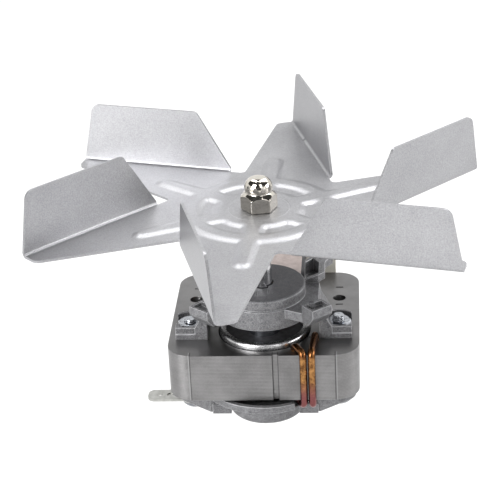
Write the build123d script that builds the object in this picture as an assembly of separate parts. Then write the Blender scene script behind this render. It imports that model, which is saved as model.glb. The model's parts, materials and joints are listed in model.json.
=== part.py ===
from build123d import *
import os
from math import atan2, cos, degrees, hypot, radians, sin, tan

# Hot air fan: a pressed six-blade wheel on the shaft of a shaded-pole motor.
# Millimetres. +Z runs up the shaft towards the cap nut, the coil lies towards +Y,
# and the origin is on the shaft axis at the underside of the lower bearing cup.

# Heights, from the underside of the lower bearing cup
lower_bracket_height = 12.1
stack_height = 16.0
upper_bracket_height = 16.9
wheel_gap = 25.0
stack_bottom = lower_bracket_height
stack_top = stack_bottom + stack_height
disc_top = stack_top + upper_bracket_height
plate_top = disc_top + wheel_gap

# Fits
slip = 0.02
running = 0.03
loose = 0.05
end_float = 0.3
air_gap = 0.4

# Fan wheel: one pressed sheet
sheet = 0.8
wheel_radius = 75.0
blade_root_radius = 33.9
blade_root_angle = 34.75
blade_height = 19.3
blade_lean = 2.33
blade_top_start = 11.2
blade_top_end = 47.4
blade_outer_round = 3.0
blade_inner_round = 2.0
bend_inner_radius = 0.8
tip_width = 6.4
tip_round = 2.6
arm_root_x = 34.0
arm_root_y = 9.2
relief_round = 1.6
arm_count = 6
wheel_phase = -96.58
bead_height = 0.8
boss_top_radius = 12.0
boss_foot_radius = 14.6
ring_foot_inner = 17.8
ring_top_inner = 19.6
ring_top_outer = 22.4
ring_foot_outer = 24.9
spoke_phase = 2.0
spoke_root_x = 12.0
spoke_root_half = 3.9
spoke_end_x = 38.3
spoke_end_half = 2.9
spoke_slope = 1.5

# Shaft, its seat for the wheel and the cap nut
shaft_radius = 3.0
shaft_flats = 5.0
shaft_bottom_wall_gap = 0.4
shaft_above_wheel = 7.0
shaft_chamfer = 0.4
seat_washer_radius = 7.5
seat_washer_thickness = 1.5
nut_flats = 10.0
nut_face_height = 4.9
nut_cone = 46.0
nut_dome_radius = 4.0
nut_neck_height = 0.5
nut_bore_spare = 0.4
nut_phase = -81.0

# Rotor
rotor_radius = 14.4
end_ring_height = 2.0
end_ring_width = 1.9
end_ring_round = 1.1
bar_count = 14
bar_radius = 0.9
bar_cover = 0.5
bar_skew = 9.0
sleeve_radius = 5.0
thrust_radius = 5.0
thrust_thickness = 0.8

# Stator stack, seen from above
stack_half_width = 30.2
stack_front = -17.4
stack_back = 40.1
corner_radius = 7.5
front_step = 0.3
groove_x = 4.0
groove_width = 1.9
groove_depth = 0.8
window_half = 13.2
window_front = 17.4
leg_front = 28.4
leg_half = 17.2
hole_x = 23.7
hole_y = 21.3
hole_radius = 2.1
dimple_length = 2.4
dimple_width = 0.7
dimple_depth = 0.5
dimple_ys = (29.0, 16.7)

# Shading rings: front leg on the outer face, rear leg in a slot beside the bore
ring_wire_radius = 1.15
ring_bend = 1.65
ring_rise = 0.3
ring_front_xs = (12.75, 15.4)
ring_rear_shift = 2.2
ring_slot_points = ((9.9, -13.1), (16.4, -5.9))

# Coil on the rear leg
bobbin_wall = 1.0
flange_thickness = 1.0
coil_half = 12.4
winding_build = 9.0
tape_thickness = 0.5
winding_round = 2.5
terminal_block_width = 9.9
terminal_block_depth = 6.0
terminal_block_rise = 6.5
terminal_block_drop = 7.0
blade_tab_width = 6.3
blade_tab_thickness = 0.8
blade_tab_length = 8.0

# Through screws, nuts and earth tab
screw_radius = 2.0
screw_length = 29.0
screw_head_radius = 4.0
screw_head_height = 2.9
nut4_flats = 7.0
nut4_height = 2.2
nut4_chamfer = 0.5
nut4_left_phase = -10.0
nut4_right_phase = 6.0
tab_length = 15.4
tab_eye_radius = 4.6
tab_hole_radius = 0.8
tab_dimple_x = 8.0
tab_dimple_radius = 1.2
tab_dimple_depth = 0.3

# Bearings, felts and retainers, the same at both ends
bearing_radius = 6.5
bearing_length = 5.0
bearing_chamfer = 1.1
felt_inner = 8.2
felt_thickness = 2.6
retainer_thickness = 0.5
retainer_inner = 5.5
cavity_radius = 10.9
pocket_wall = 1.4
pocket_depth = 2.4

# Upper bracket
disc_radius = 13.5
disc_height = 3.6
disc_chamfer = 0.5
collar_radius = 14.2
collar_height = 6.4
top_wall = 2.0
shaft_hole_radius = 3.5
oil_groove_half = 1.9
oil_groove_reach = 9.6
oil_groove_depth = 0.6
arm_thickness = 3.0
arm_edge_x = 17.7
arm_back = 6.2
web_start = (7.4, -12.2)
foot_inner_x = 17.8
foot_outer_x = 27.95
foot_half_y = 6.5
foot_height = 4.0
foot_floor = 1.1
foot_ledge_height = 1.8
foot_ledge_depth = 0.35
pocket_radius = 5.0
pocket_front = 5.3
pocket_back = 3.0
pocket_rim = 0.8
pocket_side_wall = 0.4
riser_foot_x = 21.75
riser_neck_x = 18.3
riser_fillet_height = 5.4
pad_centre = (17.4, -14.7)
pad_length = 7.4
pad_width = 5.5
pad_turn = 38.2
pad_height = 2.8
pad_undercut = 2.5
pad_lip = 0.8
pad_recess = 1.4
stud_radius = 1.0
stud_place = (-0.9, 1.5)
stud_rise = 0.8
ear_outline = (
    (12.9, 5.9), (17.5, 6.2), (19.5, 8.6), (19.4, 15.4), (20.0, 17.0),
    (21.8, 19.2), (21.8, 21.0), (19.0, 21.5), (15.9, 20.6), (12.9, 16.9),
)
ear_recess = ((12.9, 7.1), (17.5, 7.8), (17.5, 15.4), (15.6, 18.6), (12.9, 15.3))
ear_floor = 1.0
ear_rib_drop = 1.8
ear_overhang_x = 17.5
ear_overhang_height = 2.5

# Lower bracket
cup_radius = 12.0
cup_height = 4.0
cup_round = 0.5
cup_floor = 2.0
bowl_radius = 20.7
bowl_lip_top = 11.2
bowl_lip_height = 2.2
bowl_wall = 1.5
bowl_flat = 17.2
ring_bay_gap = 0.6
lower_foot_z = 4.2
lower_foot_radius = 5.2
lower_arm_root_x = 15.0
lower_arm_root_half = 11.2
block_x = (10.9, 16.9)
block_front = 11.8
block_depth = 4.6
block_z = 3.9
block_height = 3.2


def turned(points):
    """Solid of revolution about the shaft axis from a closed (radius, height) outline."""
    outline = make_face(Plane.XZ * Polyline(*points, close=True))
    return revolve(outline, Axis.Z)


def tube(outer, inner, low, high):
    """Straight tube on the shaft axis."""
    return turned([(inner, low), (outer, low), (outer, high), (inner, high)])


def rod(radius, low, high, x=0, y=0):
    """Round bar standing at x, y."""
    return Pos(x, y, (low + high) / 2) * Cylinder(radius, high - low)


def prism(points, low, high):
    """Closed outline in plan, raised from low to high."""
    outline = make_face(Polyline(*points, close=True))
    return extrude(Pos(0, 0, low) * outline, high - low)


def block(x_range, y_range, z_range):
    """Box between three pairs of limits."""
    sizes = [pair[1] - pair[0] for pair in (x_range, y_range, z_range)]
    middles = [(pair[1] + pair[0]) / 2 for pair in (x_range, y_range, z_range)]
    return Pos(*middles) * Box(*sizes)


def both_sides(shape):
    """The shape with its mirror image across the YZ plane."""
    return shape + mirror(shape, about=Plane.YZ)


def flatted(radius, flats, low, high):
    """Round bar with two flats, as the shaft's top and the holes that it drives."""
    return rod(radius, low, high) & block((-flats / 2, flats / 2), (-radius, radius), (low, high))


# Fan wheel

bend_outer_radius = bend_inner_radius + sheet
blade_root = Vector(
    blade_root_radius * cos(radians(-blade_root_angle)),
    blade_root_radius * sin(radians(-blade_root_angle)),
)
blade_tip = Vector(wheel_radius, 0)
blade_along = (blade_tip - blade_root).normalized()
blade_out = Vector(blade_along.Y, -blade_along.X)
blade_length = (blade_tip - blade_root).length
pitch = 360 / arm_count


def turned_by(point, angle):
    """A plan point turned about the shaft axis, in degrees."""
    a = radians(angle)
    return (point[0] * cos(a) - point[1] * sin(a), point[0] * sin(a) + point[1] * cos(a))


def relief_corner():
    """Where one arm's trailing edge meets the line of the next arm's bend."""
    tip = blade_tip - blade_out * tip_width
    edge = Vector(arm_root_x, arm_root_y) - tip
    root = blade_root - blade_out * bend_outer_radius
    start = Vector(*turned_by((root.X, root.Y), pitch))
    along = Vector(*turned_by((blade_along.X, blade_along.Y), pitch))
    cross = edge.X * along.Y - edge.Y * along.X
    share = ((start.X - tip.X) * along.Y - (start.Y - tip.Y) * along.X) / cross
    corner = tip + edge * share
    return (corner.X, corner.Y)


def wheel_plate():
    """Flat star with six tapered arms, rounded at each tip and at each relief notch."""
    points = []
    for arm in range(arm_count):
        inner = blade_root - blade_out * bend_outer_radius
        outer = blade_tip - blade_out * bend_outer_radius
        tip = blade_tip - blade_out * tip_width
        for p in ((inner.X, inner.Y), (outer.X, outer.Y), (tip.X, tip.Y), relief_corner()):
            points.append(turned_by(p, arm * pitch))
    outline = make_face(Polyline(*points, close=True))
    tip_reach = (blade_tip - blade_out * tip_width).length
    relief_reach = hypot(*relief_corner())
    tips = [v for v in outline.vertices() if abs(hypot(v.X, v.Y) - tip_reach) < sheet / 10]
    reliefs = [v for v in outline.vertices() if abs(hypot(v.X, v.Y) - relief_reach) < sheet / 10]
    outline = fillet(tips, tip_round)
    reliefs = [v for v in outline.vertices() if abs(hypot(v.X, v.Y) - relief_reach) < sheet / 10]
    outline = fillet(reliefs, relief_round)
    return extrude(Pos(0, 0, plate_top - sheet) * outline, sheet)


def blade():
    """One blade, bent up from the plate through a quarter round, with its corners rounded."""
    low = plate_top - sheet
    top = sheet + blade_height
    lean = top * tan(radians(blade_lean))
    section_plane = Plane(
        origin=(blade_root.X, blade_root.Y, low),
        x_dir=(-blade_out.X, -blade_out.Y, 0),
        z_dir=(blade_along.X, blade_along.Y, 0),
    )
    corner = bend_outer_radius
    side = corner * cos(radians(45))
    inner_side = bend_inner_radius * cos(radians(45))
    section = make_face(
        section_plane
        * (
            ThreePointArc((corner, 0), (corner - side, corner - side), (0, corner))
            + Line((0, corner), (-lean, top))
            + Line((-lean, top), (sheet - lean, top))
            + Line((sheet - lean, top), (sheet, corner))
            + ThreePointArc((sheet, corner), (corner - inner_side, corner - inner_side), (corner, sheet))
            + Line((corner, sheet), (corner, 0))
        )
    )
    bent = extrude(section, blade_length, dir=blade_along)
    face_plane = Plane(
        origin=(blade_root.X, blade_root.Y, low),
        x_dir=(blade_along.X, blade_along.Y, 0),
        z_dir=(blade_out.X, blade_out.Y, 0),
    )
    outline = Polyline(
        (0, 0), (blade_length, 0), (blade_length, corner), (blade_top_end, top), (blade_top_start, top), (0, corner),
        close=True,
    )
    trim = make_face(outline)
    trim = fillet(trim.vertices().sort_by(Axis.Y)[-2:].sort_by(Axis.X)[-1:], blade_outer_round)
    trim = fillet(trim.vertices().sort_by(Axis.Y)[-2:].sort_by(Axis.X)[:1], blade_inner_round)
    return bent & extrude(face_plane * trim, corner * 2, both=True)


def spoke_outline(shrink):
    """Tapered spoke with a round end, narrowed by shrink all round."""
    root = Pos(spoke_root_x, 0) * Circle(spoke_root_half - shrink)
    end = Pos(spoke_end_x, 0) * Circle(spoke_end_half - shrink)
    return make_hull(root.edges() + end.edges())


def pressed_beads():
    """Raised form of the pressing on the plane z = 0: centre boss, ring and six spokes."""
    boss = turned([(0, 0), (boss_foot_radius, 0), (boss_top_radius, bead_height), (0, bead_height)])
    ring = turned(
        [
            (ring_foot_inner, 0),
            (ring_foot_outer, 0),
            (ring_top_outer, bead_height),
            (ring_top_inner, bead_height),
        ]
    )
    foot = spoke_outline(0)
    crest = Pos(0, 0, bead_height) * spoke_outline(spoke_slope)
    spoke = loft([foot, crest], ruled=True)
    beads = boss + ring
    for arm in range(arm_count):
        beads += Rot(0, 0, arm * pitch + spoke_phase) * spoke
    return beads


def fan_wheel():
    wheel = wheel_plate()
    one_blade = blade()
    for arm in range(arm_count):
        wheel += Rot(0, 0, arm * pitch) * one_blade
    beads = pressed_beads()
    wheel += Pos(0, 0, plate_top) * beads
    wheel -= Pos(0, 0, plate_top - sheet) * beads
    wheel -= flatted(shaft_radius + slip, shaft_flats + 2 * slip, plate_top - sheet, plate_top + bead_height)
    return Rot(0, 0, wheel_phase) * wheel


hub_top = plate_top + bead_height
hub_bottom = hub_top - sheet
washer_bottom = hub_bottom - seat_washer_thickness
shaft_top = hub_top + shaft_above_wheel
shaft_low = cup_floor + shaft_bottom_wall_gap


def seat_washer():
    """Washer under the wheel, resting on the ends of the shaft's flats."""
    washer = rod(seat_washer_radius, washer_bottom, hub_bottom)
    washer -= flatted(shaft_radius + slip, shaft_flats + 2 * slip, washer_bottom, hub_bottom)
    return Rot(0, 0, wheel_phase) * washer


def shaft():
    """Round shaft with two flats from the seat washer up and a chamfer at each end."""
    round_part = rod(shaft_radius, shaft_low, washer_bottom)
    driven = Rot(0, 0, wheel_phase) * flatted(shaft_radius, shaft_flats, washer_bottom, shaft_top)
    ends = turned(
        [
            (0, shaft_low),
            (shaft_radius - shaft_chamfer, shaft_low),
            (shaft_radius, shaft_low + shaft_chamfer),
            (shaft_radius, shaft_top - shaft_chamfer),
            (shaft_radius - shaft_chamfer, shaft_top),
            (0, shaft_top),
        ]
    )
    return (round_part + driven) & ends


def cap_nut():
    """Domed nut: hexagon coned up to a short neck, a half-ball end and a blind bore."""
    face = nut_flats / 2
    across = face / cos(radians(30))
    slope = tan(radians(nut_cone))
    face_top = hub_top + nut_face_height
    hex_top = face_top + (face - nut_dome_radius) * slope
    neck_top = hex_top + nut_neck_height
    hexagon = extrude(Pos(0, 0, hub_top) * RegularPolygon(face, 6, major_radius=False), hex_top - hub_top)
    hexagon &= turned(
        [
            (0, hub_top),
            (across, hub_top),
            (across, face_top - (across - face) * slope),
            (nut_dome_radius, hex_top),
            (0, hex_top),
        ]
    )
    dome = rod(nut_dome_radius, hex_top, neck_top) + (
        Pos(0, 0, neck_top) * Sphere(nut_dome_radius)
        & block((-across, across), (-across, across), (neck_top, neck_top + nut_dome_radius))
    )
    bore = rod(shaft_radius + slip, hub_top, shaft_top + nut_bore_spare)
    return Rot(0, 0, nut_phase + 30) * (hexagon + dome - bore)


# Rotor

core_bore = shaft_radius + slip
bar_circle = rotor_radius - bar_cover - bar_radius


def rotor_bars():
    """Skewed conductor bars, each a round rod leaning about its own radius."""
    mid = (stack_bottom + stack_top) / 2
    length = stack_height / cos(radians(bar_skew))
    bars = []
    for index in range(bar_count):
        lean = Rot(0, 0, index * 360 / bar_count) * Pos(bar_circle, 0, mid) * Rot(bar_skew, 0, 0)
        bars.append(lean * Cylinder(bar_radius, length + 2 * bar_radius))
    slab = block((-rotor_radius, rotor_radius), (-rotor_radius, rotor_radius), (stack_bottom, stack_top))
    return [bar & slab for bar in bars]


def rotor_core():
    """Stack of round laminations with a closed slot for each bar."""
    core = tube(rotor_radius, core_bore, stack_bottom, stack_top)
    for bar in rotor_bars():
        core -= bar
    return core


def end_ring(seat, away):
    """Conductor ring on one face of the core, rounded on its outer edge."""
    inner = rotor_radius - end_ring_width
    crest = seat + away * end_ring_height
    shoulder = crest - away * end_ring_round
    turn = end_ring_round * (1 - cos(radians(45)))
    outline = (
        Polyline((rotor_radius, shoulder), (rotor_radius, seat), (inner, seat), (inner, crest),
                 (rotor_radius - end_ring_round, crest))
        + ThreePointArc(
            (rotor_radius - end_ring_round, crest),
            (rotor_radius - turn, crest - away * turn),
            (rotor_radius, shoulder),
        )
    )
    return revolve(make_face(Plane.XZ * outline), Axis.Z)


def rotor_cage():
    """Cast cage: both end rings and the bars between them, in one piece."""
    cage = end_ring(stack_top, 1) + end_ring(stack_bottom, -1)
    for bar in rotor_bars():
        cage += bar
    return cage


upper_wall_z = disc_top - top_wall
upper_bearing_low = upper_wall_z - bearing_length
lower_bearing_top = cup_floor + bearing_length
upper_thrust_top = upper_bearing_low - end_float
lower_thrust_low = lower_bearing_top + end_float


def upper_thrust_washer():
    return tube(thrust_radius, core_bore, upper_thrust_top - thrust_thickness, upper_thrust_top)


def lower_thrust_washer():
    return tube(thrust_radius, core_bore, lower_thrust_low, lower_thrust_low + thrust_thickness)


def upper_sleeve():
    return tube(sleeve_radius, core_bore, stack_top, upper_thrust_top - thrust_thickness)


def lower_sleeve():
    return tube(sleeve_radius, core_bore, lower_thrust_low + thrust_thickness, stack_bottom)


# Stator

bore_radius = rotor_radius + air_gap
screw_points = ((-hole_x, 0), (hole_x, 0))
open_points = ((-hole_x, hole_y), (hole_x, hole_y))


def stack_outline():
    """Plan of the laminations: flat front between two soft corners, straight sides, soft rear corners."""
    sheet_plan = make_face(
        Polyline(
            (-stack_half_width, stack_front + front_step),
            (stack_half_width, stack_front + front_step),
            (stack_half_width, stack_back),
            (-stack_half_width, stack_back),
            close=True,
        )
    )
    sheet_plan = fillet(sheet_plan.vertices(), corner_radius)
    flat_half = stack_half_width - corner_radius
    front = Pos(0, stack_front + front_step) * Rectangle(2 * flat_half, 2 * front_step)
    groove = Pos(groove_x, stack_front) * Rectangle(groove_width, 2 * groove_depth)
    return sheet_plan + front - groove


def ring_points(index, half_turn):
    """Plan points of one shading ring's two legs: on the outer face, and in its slot."""
    shift = ring_rear_shift if half_turn else 0
    front = (ring_front_xs[index] + shift, stack_front - loose - ring_wire_radius)
    return front, ring_slot_points[index]


ring_reach = ring_wire_radius + ring_rise


def shading_ring(index, half_turn):
    """Closed copper loop round the edge of one pole, with round corners."""
    front, slot = ring_points(index, half_turn)
    span = hypot(slot[0] - front[0], slot[1] - front[1])
    heading = degrees(atan2(slot[1] - front[1], slot[0] - front[0]))
    height = stack_height + 2 * ring_reach
    middle = ((front[0] + slot[0]) / 2, (front[1] + slot[1]) / 2, (stack_bottom + stack_top) / 2)
    plane = Plane(origin=middle, x_dir=(cos(radians(heading)), sin(radians(heading)), 0),
                  z_dir=(sin(radians(heading)), -cos(radians(heading)), 0))
    path = plane * RectangleRounded(span, height, ring_bend)
    start = plane * Pos(0, -height / 2)
    section = Plane(origin=start.position, z_dir=plane.x_dir) * Circle(ring_wire_radius)
    loop = sweep(section, path=path.wire())
    return Rot(0, 0, half_turn) * loop


def stator_stack():
    """Main laminations: bore, coil window, bolt holes, shading slots and interlock dimples."""
    plan = stack_outline() - Circle(bore_radius)
    window_depth = leg_front - window_front
    plan -= Pos(0, window_front + window_depth / 2) * Rectangle(2 * window_half, window_depth)
    leg_depth = stack_back - leg_front
    plan -= Pos(0, leg_front + leg_depth / 2) * Rectangle(2 * leg_half, leg_depth)
    for x, y in screw_points + open_points:
        plan -= Pos(x, y) * Circle(hole_radius)
    slot_radius = ring_wire_radius + loose
    for half_turn in (0, 180):
        for x, y in ring_slot_points:
            reach = hypot(x, y)
            mouth = Rot(0, 0, half_turn + degrees(atan2(y, x)))
            plan -= mouth * Pos(reach, 0) * Circle(slot_radius)
            plan -= mouth * Pos(bore_radius, 0) * Rectangle(2 * (reach - bore_radius), slot_radius)
    low_x = ring_front_xs[0] + ring_rear_shift - slot_radius
    high_x = ring_front_xs[1] + ring_rear_shift + slot_radius
    notch_depth = 2 * slot_radius
    plan -= Pos(-(low_x + high_x) / 2, window_front + notch_depth / 2) * Rectangle(high_x - low_x, notch_depth)
    stack = extrude(Pos(0, 0, stack_bottom) * plan, stack_height)
    for side in (-1, 1):
        for y in dimple_ys:
            stack -= block(
                (side * hole_x - dimple_length / 2, side * hole_x + dimple_length / 2),
                (y - dimple_width / 2, y + dimple_width / 2),
                (stack_top - dimple_depth, stack_top),
            )
    return stack


def core_leg():
    """Separate bar of laminations that closes the frame through the coil."""
    return block((-leg_half, leg_half), (leg_front, stack_back), (stack_bottom, stack_top))


def coil_shell(outer, inner, x_range, rounding=0):
    """Rectangular sleeve round the rear leg, grown from it by outer and inner."""
    def section(grow, corner):
        plan = Rectangle(stack_back - leg_front + 2 * grow, stack_height + 2 * grow)
        return fillet(plan.vertices(), corner) if corner else plan
    ring = section(outer, rounding) - section(inner, max(rounding - (outer - inner), 0))
    centre = (0, (leg_front + stack_back) / 2, (stack_bottom + stack_top) / 2)
    plane = Plane(origin=(x_range[0], centre[1], centre[2]), x_dir=(0, 1, 0), z_dir=(1, 0, 0))
    return extrude(plane * ring, x_range[1] - x_range[0])


tube_outer = loose + bobbin_wall
winding_outer = tube_outer + winding_build
tape_outer = winding_outer + tape_thickness
flange_inner_x = coil_half - flange_thickness


def coil_bobbin():
    """Moulded bobbin: square tube between two flanges."""
    bobbin = coil_shell(tube_outer, loose, (-coil_half, coil_half))
    for side in (-1, 1):
        x_range = sorted((side * flange_inner_x, side * coil_half))
        bobbin += coil_shell(tape_outer, loose, x_range, winding_round)
    return bobbin


def coil_winding():
    return coil_shell(winding_outer, tube_outer, (-flange_inner_x, flange_inner_x), winding_round)


def coil_tape():
    return coil_shell(
        tape_outer, winding_outer, (-flange_inner_x, flange_inner_x), winding_round + tape_thickness
    )


block_low = stack_top - terminal_block_drop
block_high = stack_top + terminal_block_rise
block_y = (stack_back + loose, stack_back + loose + terminal_block_depth)
block_x_range = (coil_half, coil_half + terminal_block_width)
tab_zs = (block_low + terminal_block_drop / 4, block_high - terminal_block_drop / 4)


def terminal_block():
    """Cream block on the bobbin's right flange, behind the stack, slotted for two blade tabs."""
    body = block(block_x_range, block_y, (block_low, block_high))
    body = fillet(body.edges().filter_by(Axis.Y), blade_tab_thickness)
    for index in (0, 1):
        body -= terminal(index)
    return body


def terminal(index):
    """Blade tab that stands out of the block's rear."""
    x_mid = sum(block_x_range) / 2
    y_range = (block_y[0] + bobbin_wall, block_y[1] + blade_tab_length)
    z = tab_zs[index]
    tab = block(
        (x_mid - blade_tab_width / 2, x_mid + blade_tab_width / 2),
        y_range,
        (z - blade_tab_thickness / 2, z + blade_tab_thickness / 2),
    )
    return chamfer(tab.edges().filter_by(Axis.Z).sort_by(Axis.Y)[-2:], blade_tab_thickness)


# Upper bracket

collar_top = disc_top - disc_height
collar_low = collar_top - collar_height
arm_top = collar_top
arm_low = arm_top - arm_thickness
foot_top = stack_top + foot_height
pad_top = arm_top + pad_height


def bearing_housing():
    """Drum that holds the upper bearing: chamfered disc, wider collar and the bearing's pocket."""
    drum = turned(
        [
            (shaft_hole_radius, disc_top),
            (disc_radius - disc_chamfer, disc_top),
            (disc_radius, disc_top - disc_chamfer),
            (disc_radius, collar_top),
            (collar_radius, collar_top),
            (collar_radius, collar_low),
            (cavity_radius, collar_low),
            (cavity_radius, upper_wall_z),
            (bearing_radius + loose + pocket_wall, upper_wall_z),
            (bearing_radius + loose + pocket_wall, upper_wall_z - pocket_depth),
            (bearing_radius + loose, upper_wall_z - pocket_depth),
            (bearing_radius + loose, upper_wall_z),
            (shaft_hole_radius, upper_wall_z),
        ]
    )
    drum -= block(
        (-oil_groove_half, oil_groove_half),
        (-oil_groove_reach, 0),
        (disc_top - oil_groove_depth, disc_top),
    )
    return drum


def on_pad(along, across):
    """Plan point at a place along and across the front pad."""
    x, y = turned_by((along, across), pad_turn)
    return (pad_centre[0] + x, pad_centre[1] + y)


def front_pad():
    """Mounting pad at the arm's end: a shallow tray with a locating stud, undercut at its front."""
    floor = pad_top - pad_recess
    upright = Pos(0, 0, (arm_top + pad_top) / 2) * Box(pad_length, pad_width, pad_height)
    upright -= block(
        (-pad_length / 2 + pad_lip, pad_length / 2 - pad_lip),
        (-pad_width / 2 + pad_lip, pad_width / 2 - pad_lip),
        (floor, pad_top),
    )
    upright += rod(stud_radius, floor, pad_top + stud_rise, *stud_place)
    foot = Pos(0, pad_undercut / 2, arm_low) * Rectangle(pad_length, pad_width - pad_undercut)
    body = upright + loft([foot, Pos(0, 0, arm_top) * Rectangle(pad_length, pad_width)], ruled=True)
    return Pos(*pad_centre) * Rot(0, 0, pad_turn) * body


def foot_and_riser():
    """Right foot on the stack, with its nut pocket, and the drafted riser up to the arm."""
    foot = block((foot_inner_x, foot_outer_x), (-foot_half_y, pocket_back + pocket_rim), (stack_top, foot_top))
    foot += rod(pocket_radius + pocket_rim, stack_top, foot_top, hole_x, 0) & block(
        (foot_inner_x, foot_outer_x), (0, foot_half_y), (stack_top, foot_top)
    )
    foot -= block(
        (riser_foot_x, foot_outer_x),
        (-foot_half_y, -foot_half_y + foot_ledge_depth),
        (stack_top + foot_ledge_height, foot_top),
    )
    arm_reach = 2 * foot_inner_x - riser_neck_x - arm_thickness
    profile = Polyline(
        (foot_inner_x, stack_top),
        (riser_foot_x, stack_top),
        (riser_foot_x, foot_top),
        (riser_neck_x, arm_low),
        (arm_edge_x, arm_top),
        (arm_reach, arm_top),
        (arm_reach, arm_low),
        (foot_inner_x, stack_top + riser_fillet_height),
        close=True,
    )
    riser = extrude(Plane.XZ * make_face(profile), foot_half_y, both=True)
    floor = stack_top + foot_floor
    pocket = rod(pocket_radius, floor, arm_low, hole_x, 0)
    pocket += block((hole_x, foot_outer_x - pocket_side_wall), (-pocket_front, pocket_back), (floor, arm_low))
    pocket &= block((foot_inner_x, foot_outer_x), (-pocket_front, pocket_radius), (floor, arm_low))
    return foot + riser - pocket


def arm():
    """Level plate from the collar to the front pad and to the riser's top."""
    return prism(
        [
            web_start,
            on_pad(-pad_length / 2, pad_width / 2),
            on_pad(-pad_length / 2, -pad_width / 2 + pad_undercut),
            on_pad(pad_length / 2, -pad_width / 2 + pad_undercut),
            (arm_edge_x, -foot_half_y),
            (arm_edge_x, arm_back),
            (cavity_radius, arm_back),
        ],
        arm_low,
        arm_top,
    )


def rear_ear():
    """Open tray behind the arm, closed by a rib that rises outwards, with a hook over the stack."""
    walls = prism(ear_outline, arm_low, pad_top) - prism(ear_recess, arm_low + ear_floor, pad_top)
    far_x = max(x for x, y in ear_outline)
    far_y = max(y for x, y in ear_outline)
    near_x = min(x for x, y in ear_outline)
    rib_back = ear_recess[1][1]
    above_rib = make_face(
        Plane.XZ * Polyline((near_x, pad_top - ear_rib_drop), (ear_overhang_x, pad_top), (near_x, pad_top), close=True)
    )
    walls -= Pos(0, rib_back, 0) * extrude(above_rib, rib_back, dir=(0, -1, 0))
    return walls - block((ear_overhang_x, far_x), (0, far_y), (arm_low, pad_top - ear_overhang_height))


def upper_bracket():
    """Die-cast upper bracket: bearing drum, two feet on the stack, front pads and rear ears."""
    side = foot_and_riser() + arm() + front_pad() + rear_ear()
    bracket = both_sides(side)
    bracket -= rod(collar_radius - loose, collar_low, collar_top)
    bracket -= rod(disc_radius - loose, collar_low, disc_top)
    bracket += bearing_housing()
    for x, y in screw_points:
        bracket -= rod(hole_radius, stack_top, stack_top + foot_floor, x, y)
    return bracket


# Lower bracket

cup_top = cup_height
felt_seat = cup_floor + bearing_length


def lower_body():
    """Outer form of the lower bracket: cup, flared bowl, arms to the feet and four blocks."""
    lip_low = bowl_lip_top - bowl_lip_height
    bowl = turned(
        [
            (0, 0),
            (cup_radius - cup_round, 0),
            (cup_radius, cup_round),
            (cup_radius, cup_top),
            (bowl_radius - bowl_wall, lip_low),
            (bowl_radius, lip_low),
            (bowl_radius, bowl_lip_top),
            (0, bowl_lip_top),
        ]
    )
    foot = Pos(hole_x, 0) * Circle(lower_foot_radius)
    root = Pos(lower_arm_root_x, 0) * Rectangle(lower_foot_radius, 2 * lower_arm_root_half)
    arm = extrude(Pos(0, 0, lower_foot_z) * make_hull(foot.edges() + root.edges()), bowl_lip_top - lower_foot_z)
    arm += rod(lower_foot_radius, lower_foot_z, stack_bottom, hole_x, 0)
    corners = block(block_x, (-block_front, -block_front + block_depth), (block_z, block_z + block_height))
    corners += mirror(corners, about=Plane.XZ)
    return bowl + both_sides(arm + corners)


def ring_bay(half_turn):
    """Clearance under one pole's pair of shading rings, open through the bowl's rim."""
    feet = []
    for index in (0, 1):
        front, slot = ring_points(index, half_turn)
        outside = (front[0], -bowl_radius - ring_wire_radius)
        for x, y in (front, slot, outside):
            feet += (Pos(x, y) * Circle(ring_wire_radius + ring_bay_gap)).edges()
    low = stack_bottom - ring_reach - ring_wire_radius - ring_bay_gap
    return Rot(0, 0, half_turn) * extrude(Pos(0, 0, low) * make_hull(feet), stack_bottom - low)


def behind(y):
    """Everything of the lower bracket from y backwards, where the coil passes."""
    return block((-window_half, window_half), (y, y + bowl_radius), (0, bowl_lip_top))


def lower_bracket():
    """Die-cast lower bracket, open towards the rotor, with the lower bearing's pocket in its cup."""
    step_z = felt_seat + retainer_thickness
    hollow = turned(
        [
            (0, step_z),
            (rotor_radius + 3 * end_float, step_z),
            (bowl_radius - bowl_wall, bowl_lip_top - bowl_lip_height / 2),
            (bowl_radius - bowl_wall, bowl_lip_top),
            (0, bowl_lip_top),
        ]
    )
    bracket = lower_body() - behind(bowl_flat) - (hollow - behind(bowl_flat - bowl_wall))
    for half_turn in (0, 180):
        bracket -= ring_bay(half_turn)
    bracket -= rod(cavity_radius, cup_floor, step_z)
    bracket += tube(
        bearing_radius + loose + pocket_wall, bearing_radius + loose, cup_floor, cup_floor + pocket_depth
    )
    for x, y in screw_points:
        bracket -= rod(hole_radius, lower_foot_z, stack_bottom, x, y)
    return bracket


# Bearing sets

def bearing(low, high):
    """Sintered bush with chamfered shoulders and the shaft's running bore."""
    inner = shaft_radius + running
    return turned(
        [
            (inner, low),
            (bearing_radius - bearing_chamfer, low),
            (bearing_radius, low + bearing_chamfer),
            (bearing_radius, high - bearing_chamfer),
            (bearing_radius - bearing_chamfer, high),
            (inner, high),
        ]
    )


def upper_bearing():
    return bearing(upper_bearing_low, upper_wall_z)


def lower_bearing():
    return bearing(cup_floor, lower_bearing_top)


def upper_felt():
    return tube(cavity_radius - loose, felt_inner, upper_wall_z - felt_thickness, upper_wall_z)


def lower_felt():
    return tube(cavity_radius - loose, felt_inner, cup_floor, cup_floor + felt_thickness)


def upper_retainer():
    return tube(cavity_radius - loose, retainer_inner, upper_bearing_low - retainer_thickness, upper_bearing_low)


def lower_retainer():
    return tube(cavity_radius - loose, retainer_inner, lower_bearing_top, lower_bearing_top + retainer_thickness)


# Through screws, nuts and earth tab

tab_top = lower_foot_z
tab_low = tab_top - blade_tab_thickness


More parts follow.
